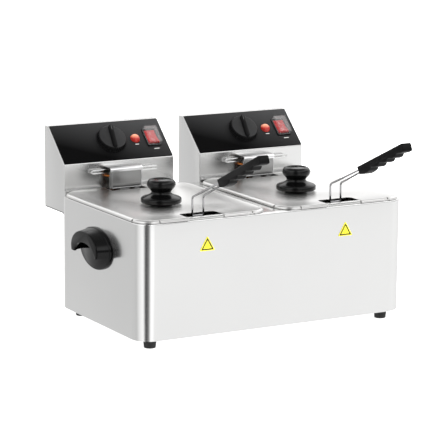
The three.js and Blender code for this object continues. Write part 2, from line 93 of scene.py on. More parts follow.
def rounded(x0, y0, x1, y1, radius, z, steps=8):
    """A ring of points round a rounded rectangle at height z."""
    ring = []
    corners = ((x1 - radius, y0 + radius, -90), (x1 - radius, y1 - radius, 0),
               (x0 + radius, y1 - radius, 90), (x0 + radius, y0 + radius, 180))
    for cx, cy, start in corners:
        for k in range(steps + 1):
            a = math.radians(start + 90 * k / steps)
            ring.append((cx + radius * math.cos(a), cy + radius * math.sin(a), z))
    return ring


def loft(rings, close=False, caps=True):
    """Joins rings of equally many points, one after the other."""
    n, verts, faces = len(rings[0]), [], []
    for ring in rings:
        verts += list(ring)
    last = len(rings) if close else len(rings) - 1
    for i in range(last):
        a, b = i * n, ((i + 1) % len(rings)) * n
        for k in range(n):
            m = (k + 1) % n
            faces.append((a + k, a + m, b + m, b + k))
    if caps and not close:
        faces.append(tuple(reversed(range(n))))
        faces.append(tuple(range((len(rings) - 1) * n, len(rings) * n)))
    return verts, faces


def slab(outline, layers, steps=8):
    """A rounded slab: outline is (x0, y0, x1, y1, radius); layers are (inset, z) from the bottom up."""
    x0, y0, x1, y1, r = outline
    return loft([rounded(x0 + i, y0 + i, x1 - i, y1 - i, max(r - i, 0.05), z, steps)
                 for i, z in layers])


def circle(radius, z, count, dips=0.0):
    """A ring of points round Z; with dips, every other pair of points stands that much further in."""
    ring = []
    for k in range(count):
        a, r = 2 * math.pi * k / count, radius - dips * (k % 4 > 1)
        ring.append((r * math.cos(a), r * math.sin(a), z))
    return ring


def turned(profile, count=48):
    """A turned form about Z from (radius, height) pairs, closed at the axis."""
    return loft([circle(max(r, NEAR_AXIS), z, count) for r, z in profile])


def ring_form(profile, count=48):
    """A turned form whose (radius, height) profile closes on itself."""
    return loft([circle(r, z, count) for r, z in profile], close=True)


def drawn_in(ring, x, y, part):
    """A ring made smaller about (x, y), at its own heights."""
    return [(x + (px - x) * part, y + (py - y) * part, pz) for px, py, pz in ring]


def smooth_corners(points, bend, steps=6):
    """Points of a polyline with each corner turned on a radius."""
    pts = [Vector(p) for p in points]
    out = [pts[0]]
    for i in range(1, len(pts) - 1):
        back, ahead = pts[i - 1] - pts[i], pts[i + 1] - pts[i]
        reach = min(bend, back.length * 0.49, ahead.length * 0.49)
        a, b = pts[i] + back.normalized() * reach, pts[i] + ahead.normalized() * reach
        for k in range(steps + 1):
            t = k / steps
            out.append(a * (1 - t) ** 2 + pts[i] * 2 * t * (1 - t) + b * t * t)
    return out + [pts[-1]]


def wire(points, radius, count=10, closed=False):
    """A round wire along points, with its ends rounded over."""
    pts = [Vector(p) for p in points]
    n = len(pts)
    if closed:
        tangents = [(pts[(i + 1) % n] - pts[i - 1]).normalized() for i in range(n)]
    else:
        tangents = [(pts[min(i + 1, n - 1)] - pts[max(i - 1, 0)]).normalized() for i in range(n)]
    up = Vector((0, 0, 1)) if abs(tangents[0].z) < 0.8 else Vector((1, 0, 0))
    normal = (up - tangents[0] * up.dot(tangents[0])).normalized()
    rings = []
    for i, (p, t) in enumerate(zip(pts, tangents)):
        normal = (normal - t * normal.dot(t)).normalized()
        side = t.cross(normal)
        spokes = [(normal * math.cos(2 * math.pi * k / count) + side * math.sin(2 * math.pi * k / count))
                  for k in range(count)]
        if not closed and i == 0:
            rings += [[p + c * radius * s - t * radius * o for c in spokes]
                      for s, o in ((0.35, 0.45), (0.75, 0.3))]
        rings.append([p + c * radius for c in spokes])
        if not closed and i == n - 1:
            rings += [[p + c * radius * s + t * radius * o for c in spokes]
                      for s, o in ((0.75, 0.3), (0.35, 0.45))]
    return loft(rings, close=closed)


def prism(outline, x0, x1):
    """An outline of (y, z) points pushed out along X."""
    return loft([[(x, y, z) for y, z in outline] for x in (x0, x1)])


def cuboid(x0, y0, z0, x1, y1, z1):
    """A box from its lowest corner to its highest."""
    return prism([(y0, z0), (y1, z0), (y1, z1), (y0, z1)], x0, x1)


def new_object(name, shell, matrix=None):
    """Makes an object in the scene from a shell, with its faces turned outwards."""
    mesh = bpy.data.meshes.new(name)
    move = matrix or Matrix.Identity(4)
    mesh.from_pydata([(move @ Vector(v)) * MM for v in shell.verts], [], shell.faces)
    outward = bmesh.new()
    outward.from_mesh(mesh)
    bmesh.ops.recalc_face_normals(outward, faces=outward.faces)
    outward.to_mesh(mesh)
    outward.free()
    obj = bpy.data.objects.new(name, mesh)
    bpy.context.scene.collection.objects.link(obj)
    return obj


def bake(obj):
    """Applies an object's modifiers."""
    graph = bpy.context.evaluated_depsgraph_get()
    graph.update()
    mesh = bpy.data.meshes.new_from_object(obj.evaluated_get(graph))
    obj.modifiers.clear()
    obj.data = mesh


def cut(obj, *forms, matrix=None):
    """Takes closed forms, in millimetres, out of an object."""
    tools = []
    for form in forms:
        tool = new_object("tool", Shell().add(form), matrix)
        step = obj.modifiers.new("cut", "BOOLEAN")
        step.operation, step.solver, step.object = "DIFFERENCE", "EXACT", tool
        tools.append(tool)
    bake(obj)
    for tool in tools:
        bpy.data.objects.remove(tool)


def bevel(obj, width, segments=3, angle=30):
    """Rounds the edges that are sharper than an angle in degrees; width is in millimetres."""
    step = obj.modifiers.new("bevel", "BEVEL")
    step.width, step.segments = width * MM, segments
    step.limit_method, step.angle_limit = "ANGLE", math.radians(angle)
    step.harden_normals = False
    bake(obj)


def finish_piece(obj, material, body, replaces=(), angle=40):
    """Shades a piece, gives it its material, and says what it rides on and stands for."""
    mesh = obj.data
    mesh.materials.clear()
    mesh.materials.append(material)
    mesh.polygons.foreach_set("use_smooth", [True] * len(mesh.polygons))
    mesh.set_sharp_from_angle(angle=math.radians(angle))
    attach(obj, body)
    if replaces:
        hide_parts(*replaces)
    return obj


def piece(name, shell, material, body, replaces=(), matrix=None, angle=40):
    """Makes and finishes a piece that needs no cuts."""
    return finish_piece(new_object(name, shell, matrix), material, body, replaces, angle)


def second_material(obj, material, place, least, both_ways=False):
    """Gives another material to the faces that look along the Z of place, or against it too."""
    outwards = place.to_3x3() @ Vector((0, 0, 1))
    obj.data.materials.append(material)
    for face in obj.data.polygons:
        lean = face.normal.dot(outwards)
        if (abs(lean) if both_ways else lean) > least:
            face.material_index = 1


# ------------------------------------------------------------------ materials
class Surface:
    """A Principled material with helpers for procedural variation in object space."""

    def __init__(self, name, color, roughness, metallic=0.0, **sockets):
        self.material = bpy.data.materials.new(name)
        self.material.use_nodes = True
        self.tree = self.material.node_tree
        self.shader = self.tree.nodes["Principled BSDF"]
        self.set(**{"Base Color": (*color, 1.0), "Roughness": roughness, "Metallic": metallic})
        self.set(**{key.replace("_", " "): value for key, value in sockets.items()})
        self.color, self.roughness = color, roughness
        self.coords = self.tree.nodes.new("ShaderNodeTexCoord")

    def set(self, **sockets):
        for key, value in sockets.items():
            self.shader.inputs[key].default_value = value

    def noise(self, scale, stretch=(1, 1, 1), detail=3.0, rough=0.55):
        mapping = self.tree.nodes.new("ShaderNodeMapping")
        mapping.inputs["Scale"].default_value = stretch
        self.tree.links.new(self.coords.outputs["Object"], mapping.inputs["Vector"])
        node = self.tree.nodes.new("ShaderNodeTexNoise")
        node.inputs["Scale"].default_value = scale
        node.inputs["Detail"].default_value = detail
        node.inputs["Roughness"].default_value = rough
        self.tree.links.new(mapping.outputs["Vector"], node.inputs["Vector"])
        return node.outputs["Fac"]

    def spread(self, factor, low, high, start=0.3, end=0.7):
        node = self.tree.nodes.new("ShaderNodeMapRange")
        for key, value in (("From Min", start), ("From Max", end), ("To Min", low), ("To Max", high)):
            node.inputs[key].default_value = value
        self.tree.links.new(factor, node.inputs["Value"])
        return node.outputs["Result"]

    def vary_roughness(self, factor, amount):
        self.tree.links.new(self.spread(factor, self.roughness - amount, self.roughness + amount),
                            self.shader.inputs["Roughness"])
        return self

    def vary_color(self, factor, dark, bright):
        """Mixes the colour between a darker and a brighter multiple of itself."""
        mix = self.tree.nodes.new("ShaderNodeMix")
        mix.data_type = "RGBA"
        mix.inputs["A"].default_value = (*[c * dark for c in self.color], 1)
        mix.inputs["B"].default_value = (*[min(c * bright, 1) for c in self.color], 1)
        self.tree.links.new(self.spread(factor, 0, 1), mix.inputs["Factor"])
        self.tree.links.new(mix.outputs["Result"], self.shader.inputs["Base Color"])
        return self

    def fade(self, axes, first, second, start, end):
        """Fades the colour from first to second along the sum of some axes of the piece's own box."""
        apart = self.tree.nodes.new("ShaderNodeSeparateXYZ")
        self.tree.links.new(self.coords.outputs["Generated"], apart.inputs["Vector"])
        place = apart.outputs[axes[0]]
        for axis in axes[1:]:
            total = self.tree.nodes.new("ShaderNodeMath")
            total.operation = "ADD"
            self.tree.links.new(place, total.inputs[0])
            self.tree.links.new(apart.outputs[axis], total.inputs[1])
            place = total.outputs[0]
        mix = self.tree.nodes.new("ShaderNodeMix")
        mix.data_type = "RGBA"
        mix.inputs["A"].default_value, mix.inputs["B"].default_value = (*first, 1), (*second, 1)
        self.tree.links.new(self.spread(place, 0.0, 1.0, start, end), mix.inputs["Factor"])
        self.tree.links.new(mix.outputs["Result"], self.shader.inputs["Base Color"])
        return self

    def bump(self, factor, strength, distance):
        node = self.tree.nodes.new("ShaderNodeBump")
        node.inputs["Strength"].default_value = strength
        node.inputs["Distance"].default_value = distance
        self.tree.links.new(factor, node.inputs["Height"])
        previous = self.shader.inputs["Normal"].links
        if previous:
            self.tree.links.new(previous[0].from_socket, node.inputs["Normal"])
        self.tree.links.new(node.outputs["Normal"], self.shader.inputs["Normal"])
        return self


def brushed(name, color, roughness, stretch, grain=0.02, blotch=0.03):
    """Brushed steel: fine grain drawn out one way, over slow soft changes."""
    surface = Surface(name, color, roughness, 1.0)
    lines = surface.noise(60, stretch, detail=5, rough=0.7)
    slow = surface.noise(7, (1, 1, 1), detail=2)
    surface.vary_roughness(lines, 0.03)
    surface.vary_color(slow, 1 - blotch, 1 + blotch)
    surface.bump(lines, grain, 0.0004)
    return surface.material


def moulded(name, color, roughness, grain=0.05, scale=900, **sockets):
    """Moulded plastic or rubber with a fine skin."""
    surface = Surface(name, color, roughness, 0.0, **sockets)
    skin = surface.noise(scale, detail=3)
    surface.vary_roughness(surface.noise(40, detail=3), 0.06)
    surface.vary_color(surface.noise(25, detail=3), 0.85, 1.2)
    surface.bump(skin, grain, 0.0003)
    return surface.material


def painted_sheen_panel():
    """The head's black panel, with a painted sheen that fades it a little lighter towards its top right."""
    surface = Surface("panel_black", (0.0015, 0.0015, 0.0016), 0.42, 0.0, Specular_IOR_Level=0.03)
    # painted sheen: the colour fades lighter towards the panel's top right
    surface.fade("XZ", surface.color, (0.050, 0.050, 0.051), 0.5, 1.9)
    surface.vary_roughness(surface.noise(30, detail=3), 0.05)
    surface.bump(surface.noise(1500, detail=2), 0.02, 0.0002)
    return surface.material


def lamp_glass():
    """A tinted dome: deep red at its foot, with a painted highlight fading it to paler orange at the top."""
    surface = Surface("lamp_orange", (0.36, 0.008, 0.004), 0.14, 0.0, Coat_Weight=0.7,
                      Emission_Color=(1.0, 0.08, 0.02, 1), Emission_Strength=0.04)
    # painted highlight: paler orange towards the dome's top
    surface.fade("Z", surface.color, (0.98, 0.44, 0.26), 0.58, 1.05)
    surface.vary_roughness(surface.noise(60, detail=3), 0.05)
    surface.bump(surface.noise(900, detail=3), 0.02, 0.0003)
    return surface.material


ACROSS = (0.25, 12, 12)
ALONG_Y = (12, 0.25, 12)
STEEL = brushed("brushed_steel", (0.80, 0.80, 0.795), 0.22, ACROSS, grain=0.0012, blotch=0.010)
CASE_STEEL = brushed("casing_steel", (0.80, 0.80, 0.795), 0.20, ACROSS, grain=0.0012, blotch=0.010)
# a lighter copy of the brushed steel for the hood's roll: a painted highlight
HIGHLIGHT_ROLL_STEEL = brushed("rolled_steel_painted_highlight", (0.96, 0.96, 0.96), 0.30, ACROSS, grain=0.002, blotch=0.010)
LID_STEEL = brushed("lid_steel", (0.80, 0.795, 0.785), 0.30, ALONG_Y, grain=0.003, blotch=0.012)
TANK_STEEL = brushed("tank_steel", (0.72, 0.72, 0.71), 0.22, (6, 6, 1))
BRIGHT_STEEL = brushed("bright_steel", (0.88, 0.88, 0.88), 0.14, ACROSS, grain=0.002)
# a darker copy of the brushed steel for the hood's front plate: painted shade
SHADED_SHEET_STEEL = brushed("sheet_steel_painted_shade", (0.40, 0.40, 0.396), 0.34, ACROSS, grain=0.01)
CHROME = brushed("chrome_wire", (0.50, 0.50, 0.51), 0.06, (3, 3, 3), grain=0.004, blotch=0.02)
BLACK = moulded("black_plastic", (0.0035, 0.0035, 0.0037), 0.34, Specular_IOR_Level=0.10)
HANDLE = moulded("handle_plastic", (0.0008, 0.0008, 0.0009), 0.17, Specular_IOR_Level=0.22)
DIAL = moulded("dial_plastic", (0.016, 0.016, 0.0165), 0.42, grain=0.10, Specular_IOR_Level=0.25)
GLOSS = moulded("knob_plastic", (0.002, 0.002, 0.0021), 0.20, grain=0.02, Specular_IOR_Level=0.30)
PANEL = painted_sheen_panel()
PANEL_GREY = moulded("pointer_grey", (0.05, 0.05, 0.05), 0.45)
ROCKER_MARK = moulded("rocker_mark", (0.42, 0.16, 0.16), 0.40)
RUBBER = moulded("foot_rubber", (0.010, 0.010, 0.010), 0.62, grain=0.12, scale=600)
ELEMENT = brushed("element_sheath", (0.30, 0.28, 0.26), 0.42, (4, 4, 4), grain=0.08, blotch=0.25)
COPPER = brushed("copper_tube", (0.32, 0.11, 0.03), 0.25, (3, 3, 3), blotch=0.12)
CERAMIC = moulded("ceramic_block", (0.72, 0.69, 0.60), 0.6, grain=0.1)
MARK = moulded("panel_marks", (0.62, 0.62, 0.60), 0.45)
ROCKER = moulded("rocker_red", (0.28, 0.002, 0.0025), 0.18, grain=0.02, Specular_IOR_Level=0.07,
                 Emission_Color=(1.0, 0.01, 0.01, 1), Emission_Strength=0.02)
LAMP = lamp_glass()
YELLOW = moulded("label_yellow", (0.90, 0.80, 0.02), 0.42, grain=0.03)
LABEL_LINE = moulded("label_line", (0.022, 0.018, 0.006), 0.5, grain=0.03)
CLEAR_SIDE = moulded("clear_side", (0.9, 0.9, 0.9), 0.15, grain=0.02, Alpha=0.05)
CLEAR_TOP = moulded("clear_top", (0.75, 0.72, 0.72), 0.22, grain=0.05, Alpha=0.09, Specular_IOR_Level=0.2)

# ------------------------------------------------------------------ camera and light
# The camera stands this far from the casing's front left edge, in millimetres, at these angles.
CAMERA_AT = Vector((WALL_LEFT - 1559.55, FRONT - 2988.17, 881.83)) * MM
YAW, PITCH, ROLL = (math.radians(a) for a in (29.512, 11.107, 0.491))
FOCAL, SENSOR = 186.6, 36.0

camera = bpy.data.objects.new("camera", bpy.data.cameras.new("camera"))
camera.data.lens = FOCAL
camera.data.sensor_width = SENSOR
camera.data.clip_start, camera.data.clip_end = 0.05, 60.0
ahead = Vector((math.sin(YAW) * math.cos(PITCH), math.cos(YAW) * math.cos(PITCH), -math.sin(PITCH)))
level = Vector((math.cos(YAW), -math.sin(YAW), 0))
upward = level.cross(ahead)
right_axis = level * math.cos(ROLL) + upward * math.sin(ROLL)
up_axis = upward * math.cos(ROLL) - level * math.sin(ROLL)
turn = Matrix((right_axis, up_axis, -ahead)).transposed().to_4x4()
camera.matrix_world = Matrix.Translation(CAMERA_AT) @ turn
bpy.context.scene.collection.objects.link(camera)
bpy.context.scene.camera = camera

scene = bpy.context.scene
scene.view_settings.view_transform = "Standard"
scene.view_settings.look = "None"

# The studio: bright soft walls with one dark panel, which the casing's front left corner reflects.
world = bpy.data.worlds.new("studio")
scene.world = world
world.use_nodes = True
nodes, links = world.node_tree.nodes, world.node_tree.links
background = nodes["Background"]
coords = nodes.new("ShaderNodeTexCoord")
split = nodes.new("ShaderNodeSeparateXYZ")
links.new(coords.outputs["Generated"], split.inputs["Vector"])
flip_x, flip_y = nodes.new("ShaderNodeMath"), nodes.new("ShaderNodeMath")
for node, axis in ((flip_x, "X"), (flip_y, "Y")):
    node.operation = "MULTIPLY"
    node.inputs[1].default_value = -1
    links.new(split.outputs[axis], node.inputs[0])
compass = nodes.new("ShaderNodeMath")
compass.operation = "ARCTAN2"
links.new(flip_x.outputs[0], compass.inputs[0])
links.new(flip_y.outputs[0], compass.inputs[1])
turn_fraction = nodes.new("ShaderNodeMapRange")
turn_fraction.inputs["From Min"].default_value = -math.pi
turn_fraction.inputs["From Max"].default_value = math.pi
links.new(compass.outputs[0], turn_fraction.inputs["Value"])
# (degrees from the front towards the left, brightness)
STUDIO = [(-180, 0.85), (-150, 1.0), (-60, 1.06), (-29, 1.02), (-10, 1.03), (-2, 1.3), (14, 1.35),
          (23, 0.32), (34, 0.12), (47, 0.03), (59, 1.3), (85, 1.05), (106, 0.65), (125, 0.72),
          (150, 0.70), (180, 0.85)]
# Towards the front a low dark band stands under a bright one; at the sides and behind only the
# bright one does. It is dimmer overhead. (height of the direction's unit vector, brightness)
FRONT_HEIGHTS = [(-1.0, 1.0), (0.04, 1.05), (0.12, 0.30), (0.36, 0.35), (0.46, 1.6), (0.70, 1.5),
                 (0.86, 0.5), (1.0, 0.5)]
SIDE_HEIGHTS = [(-1.0, 1.0), (0.20, 0.95), (0.34, 1.6), (0.60, 1.6), (0.80, 0.5), (1.0, 0.5)]
# (degrees as above, how much of the front's heights apply there)
FRONT_SPAN = [(-180, 0.0), (-110, 0.0), (-70, 1.0), (45, 1.0), (80, 0.0), (180, 0.0)]


def stepped(factor, low, high, stops):
    """A colour ramp in grey over stops given between low and high."""
    scaled = nodes.new("ShaderNodeMapRange")
    scaled.inputs["From Min"].default_value, scaled.inputs["From Max"].default_value = low, high
    links.new(factor, scaled.inputs["Value"])
    greys = nodes.new("ShaderNodeValToRGB")
    links.new(scaled.outputs["Result"], greys.inputs["Fac"])
    while len(greys.color_ramp.elements) < len(stops):
        greys.color_ramp.elements.new(0.5)
    for element, (place, _) in zip(greys.color_ramp.elements, stops):
        element.position = (place - low) / (high - low)
    for element, (_, value) in zip(greys.color_ramp.elements, stops):
        element.color = (value, value, value, 1)
    return greys.outputs["Color"]


def blend(kind, factor, first, second):
    """Mixes two colours; factor is a number or a socket."""
    node = nodes.new("ShaderNodeMix")
    node.data_type, node.blend_type = "RGBA", kind
    if isinstance(factor, float):
        node.inputs["Factor"].default_value = factor
    else:
        links.new(factor, node.inputs["Factor"])
    links.new(first, node.inputs["A"])
    links.new(second, node.inputs["B"])
    return node.outputs["Result"]


around = stepped(turn_fraction.outputs["Result"], 0.0, 1.0, [((d + 180) / 360, v) for d, v in STUDIO])
in_front = stepped(turn_fraction.outputs["Result"], 0.0, 1.0, [((d + 180) / 360, v) for d, v in FRONT_SPAN])
heights = blend("MIX", in_front, stepped(split.outputs["Z"], -1.0, 1.0, SIDE_HEIGHTS),
                stepped(split.outputs["Z"], -1.0, 1.0, FRONT_HEIGHTS))
links.new(blend("MULTIPLY", 1.0, around, heights), background.inputs["Color"])
background.inputs["Strength"].default_value = 1.0


def area_light(name, place, target, size, power):
    """A soft round light, in metres and watts, that does not show in reflections."""
    light = bpy.data.lights.new(name, "AREA")
    light.shape, light.size, light.energy = "DISK", size, power
    obj = bpy.data.objects.new(name, light)
    obj.location = place
    obj.rotation_mode = "QUATERNION"
    obj.rotation_quaternion = (Vector(target) - Vector(place)).to_track_quat("-Z", "Y")
    obj.visible_glossy = False
    scene.collection.objects.link(obj)


area_light("key", (-1.6, -2.0, 2.6), (0, 0, 0.15), 1.6, 55)
area_light("fill", (2.4, -1.4, 2.2), (0, 0, 0.15), 1.8, 30)
area_light("top", (0.2, 0.6, 2.8), (0, 0, 0.15), 2.0, 40)

FLOOR_HALF = 9000
floor = new_object("floor", Shell().add(([(x * FLOOR_HALF, y * FLOOR_HALF, 0) for x, y in
                                          ((-1, -1), (1, -1), (1, 1), (-1, 1))], [(0, 1, 2, 3)])))
floor_surface = Surface("floor_white", (0.93, 0.93, 0.93), 0.9,
                        Emission_Color=(1, 1, 1, 1), Emission_Strength=0.75)
floor_surface.vary_color(floor_surface.noise(3), 0.995, 1.005)
floor.data.materials.append(floor_surface.material)
floor.visible_glossy = False


# ------------------------------------------------------------------ casing, feet and side handles
def casing():
    """The box: rounded upright corners, a soft deck edge, and openings for the tanks and hooks."""
    radius, sheet = 30, 1.5
    shell = Shell().add(slab((WALL_LEFT, FRONT, WALL_RIGHT, CASE_HI.y, radius),
                             [(0.9, CASE_LO.z), (0.25, CASE_LO.z + 0.3), (0, CASE_LO.z + 1),
                              (0, DECK - 2), (0.2, DECK - 1), (0.8, DECK - 0.25), (1.8, DECK)], 16))
    obj = new_object("casing_body", shell)
    inner = slab((WALL_LEFT + sheet, FRONT + sheet, WALL_RIGHT - sheet, CASE_HI.y - sheet, radius - sheet),
                 [(0, CASE_LO.z - 5), (0, DECK - sheet)], 12)
    cut(obj, inner)
    slot_half, slot_gap = 41, 0.8
    for side in SIDES:
        low, high = box_mm(side + "_tank")
        cut(obj, slab((low.x + 7.3, low.y + 6, high.x - 7.3, high.y - 2.5, 28),
                      [(0, DECK - 10), (0, DECK + 10)]))
        hook_front = box_mm(side + "_head_hook")[0].y
        cut(obj, cuboid(UNIT_X[side] - slot_half, hook_front - slot_gap, DECK - 5,
                        UNIT_X[side] + slot_half, CASE_HI.y - sheet, DECK + 5))
    finish_piece(obj, CASE_STEEL, "casing", ("casing_shell",), angle=30)


def feet():
    """Four moulded feet: a wide top, a slight taper and a hollow heel."""
    for node in ("foot_front_left", "foot_front_right", "foot_rear_left", "foot_rear_right"):
        low, high = box_mm(node)
        place = Matrix.Translation(((low.x + high.x) / 2, (low.y + high.y) / 2, 0))
        shell = Shell().add(turned([(3.2, 0), (3.2, 3), (4.5, 3.2), (4.6, 0), (8.6, 0), (9.2, 0.35),
                                    (9.5, 1.2), (10.8, 14.4), (10.6, 15), (10.6, 16.4)], 40), place)
        piece(node + "_rubber", shell, RUBBER, "casing", (node,), angle=35)


casing()
feet()


# ------------------------------------------------------------------ lids, tanks and baskets
def lid(side):
    """The pressed lid: a folded bright border, a dished panel, a front notch and a rear slot."""
    low, high = box_mm(f"{side}_lid")
    knob_low, knob_high = box_mm(f"{side}_lid_knob")
    kx, ky = UNIT_X[side], (knob_low.y + knob_high.y) / 2
    x0, y0, x1, y1, top = low.x, low.y, high.x, high.y, high.z
    skirt, sheet, sink = top - 4.9, 0.9, knob_low.z - 0.3
    knob_ring, steps = 24, 12

    def ring(inset, z):
        return rounded(x0 + inset, y0 + inset, x1 - inset, y1 - inset, max(33 - inset, 2), z, steps)

    def toward(t, z):
        """A ring part of the way from the dish's border to a circle round the knob."""
        out = []
        for x, y, _ in rounded(x0 + 24, y0 + 40, x1 - 24, y1 - 22, 45, z, steps):
            away = Vector((x - kx, y - ky))
            goal = away.normalized() * knob_ring
            out.append((kx + away.x * (1 - t) + goal.x * t, ky + away.y * (1 - t) + goal.y * t, z))
        return out

    panel = top - 0.8

    def fall(t):
        return panel - (panel - sink) * (3 * t * t - 2 * t ** 3)

    upper = [ring(0, skirt), ring(0, top - 3.5), ring(0.25, top - 2.5), ring(0.8, top - 1.6),
             ring(1.7, top - 0.8), ring(2.8, top - 0.22), ring(3.8, top), ring(4.6, top - 0.08),
             ring(5.4, top - 0.3), ring(6.1, top - 0.65), ring(6.7, panel)]
    upper += [toward(k / 10, fall(k / 10)) for k in range(11)]
    under = [[(x, y, z - sheet) for x, y, z in r] for r in reversed(upper[8:])]
    under += [ring(3.8, top - sheet), ring(1.9, top - sheet - 0.9), ring(1.0, top - 3.6), ring(0.9, skirt)]
    centre = [drawn_in(r, kx, ky, 0.09) for r in (upper[-1], under[0])]
    obj = new_object(f"{side}_lid_panel", Shell().add(loft(upper + centre + under, close=True)))
    cut(obj, slab((kx - 32, FRONT - 20, kx + 32, FRONT + 38, 7), [(0, skirt - 5), (0, top + 5)]),
        cuboid(kx - 33.2, FRONT + 264.5, skirt - 5, kx + 33.2, y1 + 5, top + 5))

    # slits in the folded border, two in front and one at each side, with a dark strip of painted shadow under
    # each
    front_slit, side_slit = 83.5, 117
    slits = [cuboid(kx + s * front_slit - 0.9, y0 - 2, skirt - 1,
                    kx + s * front_slit + 0.9, y0 + 5.2, top + 1) for s in (-1, 1)]
    slits += [cuboid(kx + s * side_slit - 5, y0 + 29.5, skirt - 1,
                     kx + s * side_slit + 5, y0 + 31.7, top + 1) for s in (-1, 1)]
    # dark strips in the slits stand in for the shade inside them: painted shadow
    slit_shadows = Shell()
    for s in (-1, 1):
        slit_shadows.add(cuboid(kx + s * front_slit - 1.2, y0 + 1.1, top - 2.1,
                         kx + s * front_slit + 1.2, y0 + 5, top - 1.4))
        ends = sorted((kx + s * 117.2, kx + s * 112.6))
        slit_shadows.add(cuboid(ends[0], y0 + 29.2, top - 2.1, ends[1], y0 + 32, top - 1.4))
    piece(f"{side}_lid_slit_shadows", slit_shadows, RUBBER, f"{side}_lid_body")
    # the fold's front edge steps back a little round the right one
    slits.append(cuboid(kx + 77, y0 - 2, skirt - 1, kx + 94, y0 + 1.2, top - 0.9))
    cut(obj, *slits)
    finish_piece(obj, LID_STEEL, f"{side}_lid_body", (f"{side}_lid",), angle=32)


def lid_knob(side):
    """The lid's knob: a base disc, a waist and a dished top over its screw."""
    low, high = box_mm(f"{side}_lid_knob")
    place = Matrix.Translation(((low.x + high.x) / 2, (low.y + high.y) / 2, low.z))
    profile = [(2.3, 0), (18, 0), (18.5, 0.5), (18.5, 2.6), (19.1, 3), (32.2, 3), (33, 3.6), (33.4, 4.8),
               (33.3, 9.6), (32.7, 10.6), (31, 11.9), (26, 13.7), (20.6, 15.7), (17.6, 17.4), (16.3, 19.4),
               (16.6, 21.6), (18.4, 24.2), (21.2, 27.2), (23, 30.2), (23.6, 33), (23.3, 35.8),
               (22, 38.4), (20.2, 40.1), (18.2, 40.9), (16.9, 40.9), (16.2, 40.4), (15.9, 39.6),
               (15, 39.4), (10, 39.6), (5, 39.8), (2.3, 39.9)]
    piece(f"{side}_lid_knob_turned", Shell().add(ring_form(profile, 72), place), GLOSS,
          f"{side}_lid_body", (f"{side}_lid_knob",), angle=50)
    cap = Shell().add(turned([(2.25, 39), (2.25, 39.85), (1.6, 40), (0, 40.1)], 24), place)
    piece(f"{side}_lid_knob_plug", cap, GLOSS, f"{side}_lid_body")


def tank(side):
    """The pressed tank: a rim folded over the deck, upright walls and a rounded foot."""
    low, high = box_mm(f"{side}_tank")
    x0, y0, x1, y1, rim = low.x, low.y, high.x, high.y, high.z
    cx, cy = (x0 + x1) / 2, (y0 + y1) / 2
    deck, bend, sheet = DECK + 0.35, 20, 1.0

    def ring(inset_x, inset_front, inset_rear, z, radius):
        return rounded(x0 + inset_x, y0 + inset_front, x1 - inset_x, y1 - inset_rear, radius, z, 10)

    def even(inset, z, radius):
        return ring(inset, inset, inset, z, radius)

    face = [even(0, deck, 31), even(0, rim - 1.3, 31), even(0.4, rim - 0.4, 30.6), even(1.3, rim, 29.7),
            ring(8, 7.6, 4.2, rim, 28), ring(9.1, 8.6, 5.1, rim - 0.5, 27.5),
            ring(9.5, 9, 5.5, rim - 1.6, 27.2), ring(9.7, 9.2, 5.7, low.z + 22, 27)]
    wall = len(face) - 1
    for degrees in (15, 30, 45, 60, 75, 90):
        a = math.radians(degrees)
        inwards, above = bend * (1 - math.cos(a)), bend * (1 - math.sin(a))
        face.append(ring(9.7 + inwards, 9.2 + inwards, 5.7 + inwards, low.z + 1.2 + above, 27))
    # the hidden face, from the foot up: a sheet's thickness out from the walls and down from the foot
    back = []
    for index in range(len(face) - 1, wall - 1, -1):
        out, down = sheet * (index < len(face) - 1), sheet * (index > wall + 1)
        back.append([(x + math.copysign(out, x - cx), y + math.copysign(out, y - cy), z - down)
                     for x, y, z in face[index]])
    back += [ring(8.4, 8, 4.5, rim - 1.6, 28), even(1.5, rim - 1.2, 29.5), even(1.1, rim - 1.8, 29.9),
             even(1.1, deck, 29.9)]
    middle = [drawn_in(r, cx, cy, 0.02) for r in (face[-1], back[0])]
    piece(f"{side}_tank_pressing", Shell().add(loft(face + middle + back, close=True)), TANK_STEEL,
          f"{side}_tank_body", (f"{side}_tank",), angle=35)


def grip(side):
    """The basket's handle grip: a straight top, and finger rests beneath."""
    start = Vector((UNIT_X[side], FRONT + GRIP_Y, GRIP_Z))
    along = Vector((0, -math.cos(GRIP_SLOPE), math.sin(GRIP_SLOPE)))
    across = Vector((0, math.sin(GRIP_SLOPE), math.cos(GRIP_SLOPE)))
    end, half, above = GRIP_LENGTH, 9.0, 5.85
    # (length from the start, height under the top edge)
    outline = [(0, 0), (40, 0), (90, 0), (end - 4, 0), (end - 1.6, -0.5), (end - 0.3, -2), (end, -5),
               (end, -11), (end - 0.6, -12.8), (end - 2.2, -13.7), (end - 7, -13.8), (end - 16, -12.6)]
    for rest in range(4):
        far = end - 22 - rest * 25.6
        outline += [(far, -11.4), (far - 2.6, -11.8), (far - 5.6, -14.4), (far - 8.4, -15.3),
                    (far - 14, -14.9)]
    outline = outline[:-1] + [(22, -16.2), (13, -16.1), (2, -13.4)]
    layers = []
    for x, inset in ((-half, 1.5), (-half + 0.5, 0.6), (-half + 1.5, 0.1), (-half + 2.4, 0.0),
                     (half - 2.4, 0.0), (half - 1.5, 0.1), (half - 0.5, 0.6), (half, 1.5)):
        ring = []
        for k, (length, height) in enumerate(outline):
            before, after = Vector(outline[k - 1]), Vector(outline[(k + 1) % len(outline)])
            tangent = (after - before).normalized()
            inward = Vector((tangent.y, -tangent.x)) * inset
            q = start + along * (length + inward.x) + across * (height + inward.y + above)
            ring.append((q.x + x, q.y, q.z))
        layers.append(ring)
    piece(f"{side}_grip_moulding", Shell().add(loft(layers)), BLACK, f"{side}_basket_body",
          (f"{side}_basket_grip",), angle=38)


